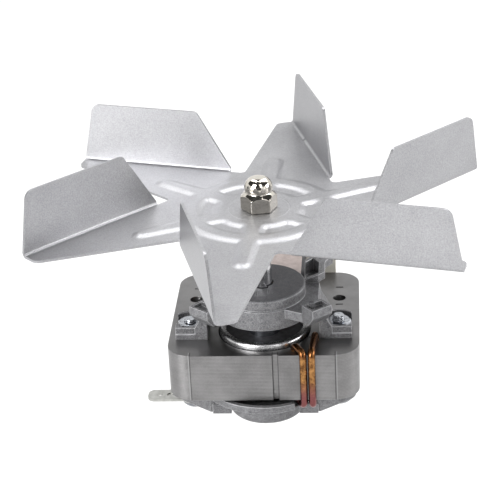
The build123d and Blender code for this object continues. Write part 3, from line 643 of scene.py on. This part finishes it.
def new_finish(name, light, dark, cloud_mm, grain_mm, relief_mm, rough, metallic=1.0, shares=(1.0, 0.9)):
    """Material whose colour drifts between two hex colours, and whose grain sets gloss and relief.

    The mix of the colours is one half, plus the cloud and the grain about their own middles, each
    times its share. The roughness runs over its range with the grain.
    """
    material = bpy.data.materials.new(name)
    material.use_nodes = True
    tree = material.node_tree
    shader = tree.nodes["Principled BSDF"]
    place = add(tree, "ShaderNodeTexCoord").outputs["Object"]
    cloud = add(tree, "ShaderNodeTexNoise",
                {"Vector": place, "Scale": per_mm(cloud_mm), "Detail": 3.0, "Roughness": 0.55})
    grain = add(tree, "ShaderNodeTexNoise",
                {"Vector": place, "Scale": per_mm(grain_mm), "Detail": 2.0, "Roughness": 0.6})
    drift = add(tree, "ShaderNodeMapRange",
                {"Value": cloud.outputs["Fac"], "From Min": NOISE_LOW, "From Max": NOISE_HIGH,
                 "To Min": 0.5 - 0.5 * shares[0], "To Max": 0.5 + 0.5 * shares[0]})
    speckle = add(tree, "ShaderNodeMath", {0: grain.outputs["Fac"], 1: -0.5}, operation="ADD")
    share = add(tree, "ShaderNodeMath", {0: speckle.outputs[0], 1: shares[1], 2: drift.outputs[0]},
                operation="MULTIPLY_ADD", use_clamp=True)
    colour = add(tree, "ShaderNodeMix", {"Factor": share.outputs[0], "A": linear(dark), "B": linear(light)},
                 data_type="RGBA")
    gloss = add(tree, "ShaderNodeMapRange",
                {"Value": grain.outputs["Fac"], "From Min": NOISE_LOW, "From Max": NOISE_HIGH,
                 "To Min": rough[0], "To Max": rough[1]})
    relief = add(tree, "ShaderNodeBump",
                 {"Height": grain.outputs["Fac"], "Distance": relief_mm * MM, "Strength": 1.0})
    shader.inputs["Metallic"].default_value = metallic
    tree.links.new(colour.outputs["Result"], shader.inputs["Base Color"])
    tree.links.new(gloss.outputs[0], shader.inputs["Roughness"])
    tree.links.new(relief.outputs[0], shader.inputs["Normal"])
    return {"material": material, "tree": tree, "shader": shader, "place": place,
            "colour": colour, "relief": relief, "grain_relief": relief}


# %% What can be added to a finish
def blend_colour(finish, factor, tint):
    """Mixes the colour so far with a tint: factor, a socket from 0 to 1, is the tint's share."""
    tree = finish["tree"]
    sockets = {"Factor": factor, "A": finish["colour"].outputs["Result"], "B": linear(tint)}
    mixed = add(tree, "ShaderNodeMix", sockets, data_type="RGBA")
    tree.links.new(mixed.outputs["Result"], finish["shader"].inputs["Base Color"])
    finish["colour"] = mixed


def add_relief(finish, height, distance_mm):
    """A second relief on top of the first: height is a socket from 0 to 1, times the distance."""
    tree = finish["tree"]
    more = add(tree, "ShaderNodeBump",
               {"Height": height, "Distance": distance_mm * MM, "Normal": finish["relief"].outputs[0]})
    tree.links.new(more.outputs[0], finish["shader"].inputs["Normal"])
    finish["relief"] = more


def soften_edges(finish, radius_mm):
    """Lets light catch the worn edges: the shading normal turns over that radius at each edge."""
    rounded = add(finish["tree"], "ShaderNodeBevel", {"Radius": radius_mm * MM}, samples=6)
    finish["tree"].links.new(rounded.outputs[0], finish["grain_relief"].inputs["Normal"])
    return rounded


def distance_from_axis(finish):
    """Socket with the distance from the shaft axis, in metres: the length of (x, y, 0)."""
    tree = finish["tree"]
    flat = add(tree, "ShaderNodeVectorMath", {0: finish["place"], 1: (1.0, 1.0, 0.0)}, operation="MULTIPLY")
    return add(tree, "ShaderNodeVectorMath", {0: flat.outputs[0]}, operation="LENGTH").outputs["Value"]


# %% [markdown]
# Mill-finish aluminium sheet: rolled, pressed and left bare. It is satin, a little cloudy, and
# has a fine even grain that is about half a millimetre coarse in the picture. A faint ring round
# the nut is the mark of the press pin, and one arm has a small dark spot by its bend.

# %% Bare aluminium sheet
aluminium_sheet = new_finish("mill_finish_aluminium", "b4b4b6", "919194", 24, 0.42, 0.045, (0.38, 0.48),
                             shares=(0.3, 1.7))
tree = aluminium_sheet["tree"]

PIN_MARK, PIN_WIDTH, PIN_RELIEF = 9.45, 0.28, 0.05
from_axis = distance_from_axis(aluminium_sheet)
off_ring = add(tree, "ShaderNodeMath", {0: from_axis, 1: PIN_MARK * MM}, operation="SUBTRACT")
off_ring = add(tree, "ShaderNodeMath", {0: off_ring.outputs[0]}, operation="ABSOLUTE")
ring_mark = add(tree, "ShaderNodeMapRange",
                {"Value": off_ring.outputs[0], "From Min": 0.0, "From Max": PIN_WIDTH * MM,
                 "To Min": 1.0, "To Max": 0.0}, interpolation_type="SMOOTHSTEP")
add_relief(aluminium_sheet, ring_mark.outputs[0], PIN_RELIEF)

SPOT_PLACE, SPOT_SIZE, SPOT_SHARE = (12.4, 56.9, PLATE_TOP), 1.3, 0.8
to_spot = add(tree, "ShaderNodeVectorMath",
              {0: aluminium_sheet["place"], 1: [v * MM for v in SPOT_PLACE]}, operation="DISTANCE")
dark_spot = add(tree, "ShaderNodeMapRange",
           {"Value": to_spot.outputs["Value"], "From Min": 0.0, "From Max": SPOT_SIZE * MM,
            "To Min": SPOT_SHARE, "To Max": 0.0}, interpolation_type="SMOOTHSTEP")
blend_colour(aluminium_sheet, dark_spot.outputs[0], "55565a")
print("press mark", 2 * PIN_MARK, "mm across, dent", 2 * SPOT_SIZE, "mm across")

# %% [markdown]
# Bright nickel on the domed nut is close to a mirror and slightly warm. Zinc on the screws and
# nuts is greyer and duller, and its edges are worn round. The heads underneath are painted darker,
# as painted shade. The ground shaft has fine marks, and the strip and the terminals are plain and satin.

# %% Plated and ground steel
nickel = new_finish("bright_nickel_plate", "e2ddd4", "d3cec3", 6, 0.5, 0.0015, (0.05, 0.09))
zinc = new_finish("clear_zinc_plate", "bfc2c7", "93969b", 1.2, 0.35, 0.006, (0.14, 0.26))
ground_shaft = new_finish("ground_steel_bar", "dededf", "bababc", 8, 0.4, 0.002, (0.10, 0.18))
blank_strip = new_finish("blanked_spring_strip", "9fa0a2", "85868a", 5, 0.4, 0.004, (0.25, 0.38))
tinned = new_finish("tinned_brass_blade", "bfbfbb", "a4a4a0", 2, 0.3, 0.010, (0.30, 0.45))

ZINC_EDGE, LOW_SHADE_SHARE = 0.15, 0.55
SHADE_FULL_BELOW, SHADE_NONE_ABOVE = 8.0, 12.0
soften_edges(zinc, ZINC_EDGE)
tree = zinc["tree"]
level = add(tree, "ShaderNodeSeparateXYZ", {0: zinc["place"]})
# Painted shade: the zinc is mixed towards a dark grey under 12 mm, most at 8 mm, so the heads underneath look
# darker.
painted_low_shade = add(tree, "ShaderNodeMapRange",
                {"Value": level.outputs["Z"], "From Min": SHADE_FULL_BELOW * MM, "From Max": SHADE_NONE_ABOVE * MM,
                 "To Min": LOW_SHADE_SHARE, "To Max": 0.0})
blend_colour(zinc, painted_low_shade.outputs[0], "4a4b4e")
print("screw heads are dull below", SHADE_FULL_BELOW, "mm")

# %% [markdown]
# The stator is a stack of punched sheets half a millimetre thick. Its flat faces are painted
# darker, a painted shade for the dark underside of the wheel that they mirror. On its sides the cut edges of
# the sheets show as fine level lines.
# A drawn texture would need a map for every face. Here the height is divided by the thickness of
# a sheet instead: the whole part numbers the sheet and gives it its own tone, and the rest tells
# how near the gap to the next sheet is.

# %% Stacked laminations
LAMINATION = 0.5
# The dark line starts at this distance from the sheet's middle, as a share of its thickness.
LINE_FROM, LINE_TO = 0.28, 0.5
LINE_SHADE, SHEET_TONES, LINE_RELIEF = 0.35, 0.09, -0.04
TOP_SHADE = 0.28

laminated = new_finish("punched_electrical_steel", "949393", "7b7a7a", 11, 0.5, 0.008, (0.28, 0.42))
tree = laminated["tree"]
facing = add(tree, "ShaderNodeSeparateXYZ", {0: add(tree, "ShaderNodeNewGeometry").outputs["True Normal"]})
is_flat = add(tree, "ShaderNodeMath", {0: facing.outputs["Z"]}, operation="ABSOLUTE")
is_side = add(tree, "ShaderNodeMath", {0: 1.0, 1: is_flat.outputs[0]}, operation="SUBTRACT")
place = add(tree, "ShaderNodeSeparateXYZ", {0: laminated["place"]})
layer = add(tree, "ShaderNodeMath", {0: place.outputs["Z"], 1: LAMINATION * MM}, operation="DIVIDE")
layer_phase = add(tree, "ShaderNodeMath", {0: layer.outputs[0]}, operation="FRACT")
gap = add(tree, "ShaderNodeMath", {0: layer_phase.outputs[0], 1: 0.5}, operation="SUBTRACT")
gap = add(tree, "ShaderNodeMath", {0: gap.outputs[0]}, operation="ABSOLUTE")
gap = add(tree, "ShaderNodeMapRange", {"Value": gap.outputs[0], "From Min": LINE_FROM, "From Max": LINE_TO})
gap = add(tree, "ShaderNodeMath", {0: gap.outputs[0], 1: is_side.outputs[0]}, operation="MULTIPLY")
layer_number = add(tree, "ShaderNodeMath", {0: layer.outputs[0]}, operation="FLOOR")
tone = add(tree, "ShaderNodeTexWhiteNoise", {"W": layer_number.outputs[0]}, noise_dimensions="1D")
tone = add(tree, "ShaderNodeMath", {0: tone.outputs["Value"], 1: SHEET_TONES}, operation="MULTIPLY")
tone = add(tree, "ShaderNodeMath", {0: tone.outputs[0], 1: is_side.outputs[0]}, operation="MULTIPLY")
line_dark = add(tree, "ShaderNodeMath", {0: gap.outputs[0], 1: LINE_SHADE, 2: tone.outputs[0]},
                operation="MULTIPLY_ADD", use_clamp=True)
blend_colour(laminated, line_dark.outputs[0], "3f3f3f")
add_relief(laminated, gap.outputs[0], LINE_RELIEF)
# Painted shade: the flat faces, top and bottom, are mixed towards a dark grey.
painted_flat_shade = add(tree, "ShaderNodeMath", {0: is_flat.outputs[0], 1: TOP_SHADE}, operation="MULTIPLY")
blend_colour(laminated, painted_flat_shade.outputs[0], "505050")
print("lamination lines every", LAMINATION, "mm")

# %% [markdown]
# Upright lines are painted on the front of the stack too: painted shade along the edges of the two
# narrow grooves where the sheets are clamped to each other, and at both ends painted shade in a
# crease with a painted highlight beside it. They are finer than the solid's own forms, so they are drawn:
# each is darkest or lightest at its X and fades out over half of its half width, and only points in front of
# FRONT_Y have them.

# %% Lines down the front of the stack
FRONT_Y = -15.0
GROOVE_LINES, CREASE_LINES, HIGHLIGHT_LINES = (3.15, 4.85), (-22.75, 22.75), (-23.15, 23.15)
HIGHLIGHT_HALF_WIDTH, SHADE_HALF_WIDTH, LINE_STRENGTH = 0.25, 0.2, 0.6

on_front = add(tree, "ShaderNodeMath", {0: place.outputs["Y"], 1: FRONT_Y * MM}, operation="LESS_THAN")
# Painted light: the light lines are painted highlights, and the dark lines are painted shade.
for lines, half_width, tint in ((HIGHLIGHT_LINES, HIGHLIGHT_HALF_WIDTH, "a2a2a2"),
                                (GROOVE_LINES + CREASE_LINES, SHADE_HALF_WIDTH, "262626")):
    for x in lines:
        off_line = add(tree, "ShaderNodeMath", {0: place.outputs["X"], 1: x * MM}, operation="SUBTRACT")
        off_line = add(tree, "ShaderNodeMath", {0: off_line.outputs[0]}, operation="ABSOLUTE")
        line = add(tree, "ShaderNodeMapRange",
                   {"Value": off_line.outputs[0], "From Min": half_width * MM / 2,
                    "From Max": half_width * MM, "To Min": LINE_STRENGTH, "To Max": 0.0})
        line = add(tree, "ShaderNodeMath", {0: line.outputs[0], 1: on_front.outputs[0]}, operation="MULTIPLY")
        blend_colour(laminated, line.outputs[0], tint)
print(len(HIGHLIGHT_LINES), "light and", len(GROOVE_LINES + CREASE_LINES), "dark lines on the front")

# %% [markdown]
# The rotor's core is turned steel that has darkened, and its end rings are aluminium cast round
# it, turned bright on the rim. The shading rings are bare copper wire: golden along their sides,
# brown over the top bend, and pink towards the weld underneath. The tints are two more layers of
# colour that come in with height.

# %% Rotor and copper
rotor_steel = new_finish("darkened_rotor_steel", "69696b", "4f4f51", 2, 0.5, 0.03, (0.55, 0.70))
cage = new_finish("turned_cast_aluminium", "cfcfcf", "a9a9aa", 2, 0.4, 0.02, (0.22, 0.36))
copper = new_finish("tinted_copper", "bb8a55", "553620", 1.7, 0.4, 0.006, (0.16, 0.30),
                    shares=(0.9, 0.7))

RING_BOTTOM, RING_MIDDLE = 14.0, 21.0
RING_BEND, RING_TOP = 27.2, 28.8
PINK_SHARE, BROWN_SHARE = 0.95, 0.75
tree = copper["tree"]
level = add(tree, "ShaderNodeSeparateXYZ", {0: copper["place"]})
for low, high, share_low, share_high, tint in ((RING_BOTTOM, RING_MIDDLE, PINK_SHARE, 0.0, "754648"),
                                               (RING_BEND, RING_TOP, 0.0, BROWN_SHARE, "6b4226")):
    height_tint = add(tree, "ShaderNodeMapRange",
               {"Value": level.outputs["Z"], "From Min": low * MM, "From Max": high * MM,
                "To Min": share_low, "To Max": share_high}, interpolation_type="SMOOTHSTEP")
    blend_colour(copper, height_tint.outputs[0], tint)
print("copper is golden from", RING_MIDDLE, "to", RING_BEND, "mm")

# %% [markdown]
# Zinc brackets come from the die dull and grey, with a skin that is mottled from a few tenths
# of a millimetre up to several millimetres. It is less mirror-like than plate, so its roughness
# is high and its relief is coarse. Its edges are painted lighter, as a painted highlight. They are found by
# comparing two normals: the one that a rounded edge would have, and the true one of the face.
# Where the two differ, the metal is painted bright. The top of the disc under the wheel is painted darker, as
# painted shade.

# %% Die-cast zinc
die_cast = new_finish("die_cast_zinc", "8b8b8d", "4d4d4f", 1.6, 0.3, 0.12, (0.40, 0.60), 0.6,
                      shares=(0.4, 2.6))
tree = die_cast["tree"]

EDGE_RADIUS, EDGE_HIGHLIGHT_SHARE = 0.45, 0.65
FULLY_TURNED, NOT_TURNED = 0.75, 0.985
rounded = soften_edges(die_cast, EDGE_RADIUS)
likeness = add(tree, "ShaderNodeVectorMath",
               {0: rounded.outputs[0], 1: add(tree, "ShaderNodeNewGeometry").outputs["True Normal"]},
               operation="DOT_PRODUCT")
# Painted highlight: a light tint is mixed in along every edge, the concave ones too.
painted_edge_highlight = add(tree, "ShaderNodeMapRange",
              {"Value": likeness.outputs["Value"], "From Min": FULLY_TURNED, "From Max": NOT_TURNED,
               "To Min": EDGE_HIGHLIGHT_SHARE, "To Max": 0.0})
blend_colour(die_cast, painted_edge_highlight.outputs[0], "d6d6d8")

DISC_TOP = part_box("upper_bracket")[1].z / MM
SHADE_FROM, SHADE_FULL, SHADE_SHARE = 0.5, 0.1, 0.62
level = add(tree, "ShaderNodeSeparateXYZ", {0: die_cast["place"]})
# Painted shade: the top of the disc, under the wheel, is mixed towards a dark grey.
painted_disc_shade = add(tree, "ShaderNodeMapRange",
               {"Value": level.outputs["Z"], "From Min": (DISC_TOP - SHADE_FROM) * MM,
                "From Max": (DISC_TOP - SHADE_FULL) * MM, "To Min": 0.0, "To Max": SHADE_SHARE})
blend_colour(die_cast, painted_disc_shade.outputs[0], "3c3c40")
print("the disc's top is at", round(DISC_TOP, 2), "mm")

# %% [markdown]
# The plastics, the tape, the felt and the sintered bronze are not shiny. Each starts from its
# usual roughness, and only the enamelled wire and the bronze are metal underneath. The tape's
# cloth shows as a grain of half a millimetre, with faint stains of varnish that are wider.

# %% Plastics, tape, felt and bronze
dark_plastic = new_finish("moulded_dark_nylon", "3d3d40", "2e2e31", 6, 0.4, 0.01, (0.45, 0.6), 0.0)
cream_plastic = new_finish("moulded_cream_polyester", "f3f0e6", "e8e4d8", 8, 0.4, 0.008, (0.42, 0.55), 0.0)
tape = new_finish("wound_insulating_tape", "c2b5b0", "a99b96", 2.2, 0.5, 0.02, (0.5, 0.65), 0.0)
winding = new_finish("enamelled_copper_wire", "a4532a", "7d3a1c", 3, 0.4, 0.02, (0.25, 0.4), 0.6)
felt = new_finish("oiled_wool_felt", "b9ad98", "9a8e7a", 2, 0.25, 0.12, (0.85, 0.95), 0.0)
bronze = new_finish("sintered_bronze", "a9845a", "86653f", 3, 0.2, 0.015, (0.38, 0.52))
print(len(bpy.data.materials), "materials so far")

# %% Give each piece its finish
finish_of_slot = {
    "wheel_aluminium": aluminium_sheet, "nickel_plate": nickel, "zinc_plate": zinc,
    "shaft_steel": ground_shaft, "lamination_steel": laminated, "rotor_steel": rotor_steel,
    "cage_aluminium": cage, "copper": copper, "diecast_zinc": die_cast,
    "bobbin_plastic": dark_plastic, "cream_plastic": cream_plastic, "coil_tape": tape,
    "enamelled_wire": winding, "bronze": bronze, "felt": felt,
    "spring_steel": blank_strip, "tinned_brass": tinned,
}
finished = [(nodes[part["node"]], finish_of_slot[part["material_slot"]])
            for part in frame["record"]["subparts"]]
finished += [(wheel, aluminium_sheet), (domed_nut, nickel)] + [(screw, zinc) for screw in screws]
for piece, finish in finished:
    piece.data.materials.clear()
    piece.data.materials.append(finish["material"])
print(len(finish_of_slot), "finishes on", len(finished), "pieces")

# %% [markdown]
# ## Camera
#
# The camera stands where the photograph was taken from: a little over half a metre away in front
# and slightly to the right, looking down at 26 degrees with a long lens, and turned a few degrees
# about its own axis. Its turn is built from three directions at right angles.

# %% Camera
HUB = (0, 0, 60)
CAMERA_PLACE = (33.50, -479.07, 286.74)
LOOK_AZIMUTH, LOOK_DOWN, LOOK_ROLL = (np.radians(v) for v in (-4.415, 25.623, -2.702))
LENS, SENSOR = 122.57, 36.0

ahead = Vector((np.sin(LOOK_AZIMUTH) * np.cos(LOOK_DOWN), np.cos(LOOK_AZIMUTH) * np.cos(LOOK_DOWN),
                -np.sin(LOOK_DOWN)))
level_right = ahead.cross(Vector((0, 0, 1))).normalized()
level_up = level_right.cross(ahead)
right = level_right * np.cos(LOOK_ROLL) + level_up * np.sin(LOOK_ROLL)
above = right.cross(ahead)
camera_data = bpy.data.cameras.new("camera")
camera_data.lens = LENS
camera_data.sensor_width = SENSOR
camera = bpy.data.objects.new("camera", camera_data)
facing_scene = Matrix((right, above, -ahead)).transposed().to_4x4()
camera.matrix_world = Matrix.Translation(Vector(CAMERA_PLACE) * MM) @ facing_scene
scene.collection.objects.link(camera)
scene.camera = camera
print("camera", round((Vector(CAMERA_PLACE) - Vector(HUB)).length), "mm from the hub")

# %% [markdown]
# ## Stage and light
#
# The fan is held by its motor in use, so it doesn't stand on the floor: the floor is some way
# under it, and far larger than the picture. Floor and world have to look white, but must not
# light the metal from all sides, so both are brighter for the rays that see them than for the
# light that they give. Those rays come from the camera, off a mirror or through glass.

# %% Floor
FLOOR_Z, FLOOR_HALF = -80.0, 4000.0
LIFT = 0.42


def flat_card(name, corners_mm):
    """A single flat card of the stage."""
    mesh = bpy.data.meshes.new(name)
    mesh.from_pydata([[v * MM for v in corner] for corner in corners_mm], [], [[0, 1, 2, 3]])
    card = bpy.data.objects.new(name, mesh)
    scene.collection.objects.link(card)
    return card


def seen_directly(tree):
    """Socket that is 1 for rays from the camera, off a mirror or through glass, and else 0."""
    ray = add(tree, "ShaderNodeLightPath").outputs
    mirrored = add(tree, "ShaderNodeMath", {0: ray["Is Camera Ray"], 1: ray["Is Glossy Ray"]},
                   operation="MAXIMUM")
    return add(tree, "ShaderNodeMath", {0: mirrored.outputs[0], 1: ray["Is Transmission Ray"]},
               operation="MAXIMUM").outputs[0]


corners = ((-1, -1), (1, -1), (1, 1), (-1, 1))
floor = flat_card("floor", [(x * FLOOR_HALF, y * FLOOR_HALF, FLOOR_Z) for x, y in corners])
floor_paint = bpy.data.materials.new("white_floor")
floor_paint.use_nodes = True
tree = floor_paint.node_tree
tree.nodes.remove(tree.nodes["Principled BSDF"])
lift = add(tree, "ShaderNodeMath", {0: seen_directly(tree), 1: LIFT}, operation="MULTIPLY")
matt = add(tree, "ShaderNodeBsdfDiffuse", {"Color": linear("b0b0b0")})
glow = add(tree, "ShaderNodeEmission", {"Color": (1, 1, 1, 1), "Strength": lift.outputs[0]})
both = add(tree, "ShaderNodeAddShader", {0: matt.outputs[0], 1: glow.outputs[0]})
tree.links.new(both.outputs[0], tree.nodes["Material Output"].inputs["Surface"])
floor.data.materials.append(floor_paint)
print("floor", 2 * FLOOR_HALF * MM, "m wide at", FLOOR_Z, "mm")

# %% World
WORLD_LIGHT = 0.45
world = bpy.data.worlds.new("studio")
scene.world = world
world.use_nodes = True
tree = world.node_tree
background = tree.nodes["Background"]
strength = add(tree, "ShaderNodeMapRange",
               {"Value": seen_directly(tree), "To Min": WORLD_LIGHT, "To Max": 1.0})
background.inputs["Color"].default_value = (1, 1, 1, 1)
tree.links.new(strength.outputs[0], background.inputs["Strength"])
print("the world gives a light of", WORLD_LIGHT)

# %% [markdown]
# Metal shows what it mirrors, so the lamps are large soft rectangles, and each is there for the
# faces that mirror it. Two keys on the left in front light the fronts of the blades and of the
# stack. On the right a weak fill, a tall streak for the nut, a lamp from the side and one from
# behind keep the other faces from going dark. Two long strips overhead shine on the flat sheet.

# %% Lamps
def softbox(name, place_mm, aim_mm, width_mm, height_mm, watts):
    """A rectangular soft lamp at a place, turned to face a point."""
    lamp = bpy.data.lights.new(name, "AREA")
    lamp.shape = "RECTANGLE"
    lamp.size, lamp.size_y, lamp.energy = width_mm * MM, height_mm * MM, watts
    holder = bpy.data.objects.new(name, lamp)
    place = Vector(place_mm) * MM
    holder.location = place
    holder.rotation_euler = (Vector(aim_mm) * MM - place).to_track_quat("-Z", "Y").to_euler()
    scene.collection.objects.link(holder)


softbox("key_left", (-548, -701, 707), HUB, 520, 800, 11.8)
softbox("key_low", (-720, -800, 289), HUB, 600, 450, 7.3)
softbox("fill_right", (720, -800, 289), HUB, 600, 450, 0.8)
softbox("streak_right", (409, -708, 796), HUB, 350, 800, 2.0)
softbox("side_right", (1154, 0, 391), HUB, 600, 500, 8.4)
softbox("back_right", (516, 615, 952), HUB, 760, 700, 2.5)
softbox("top_left", (-330, 430, 1130), HUB, 260, 700, 5.4)
softbox("top_right", (330, 430, 1130), HUB, 260, 700, 6.2)
print(len(bpy.data.lights), "lamps")

# %% [markdown]
# A mirror that sees white everywhere looks like paper. A dark wall behind the camera and a dark
# ceiling give the nut and the sheet their dark parts. Only reflections see these two cards: the
# camera doesn't, and they cast no shadow and give no light.

# %% Dark cards that only reflections see
WALL_Y, WALL_HALF, WALL_TOP, WALL_LOW = -1100.0, 1500.0, 1300.0, 20.0
CEILING_Z, CEILING_HALF, CEILING_BACK = 1300.0, 2600.0, 900.0

dark_paint = bpy.data.materials.new("dark_card")
dark_paint.use_nodes = True
dark_paint.node_tree.nodes["Principled BSDF"].inputs["Base Color"].default_value = linear("2c2c2c")


def dark_card(name, corners_mm):
    """A dark card that is hidden from the camera, from diffuse light and from shadows."""
    card = flat_card(name, corners_mm)
    card.data.materials.append(dark_paint)
    card.visible_camera = card.visible_diffuse = card.visible_shadow = False


dark_card("dark_wall", [(-WALL_HALF, WALL_Y, WALL_LOW), (WALL_HALF, WALL_Y, WALL_LOW),
                        (WALL_HALF, WALL_Y, WALL_TOP), (-WALL_HALF, WALL_Y, WALL_TOP)])
dark_card("dark_ceiling", [(-CEILING_HALF, WALL_Y, CEILING_Z), (CEILING_HALF, WALL_Y, CEILING_Z),
                           (CEILING_HALF, CEILING_BACK, CEILING_Z), (-CEILING_HALF, CEILING_BACK, CEILING_Z)])
print("dark wall", WALL_TOP - WALL_LOW, "mm high, dark ceiling at", CEILING_Z, "mm")

# %% [markdown]
# The picture is shown as it was lit, with no film look on top, so the view transform is
# Standard.

# %% View
scene.view_settings.view_transform = "Standard"
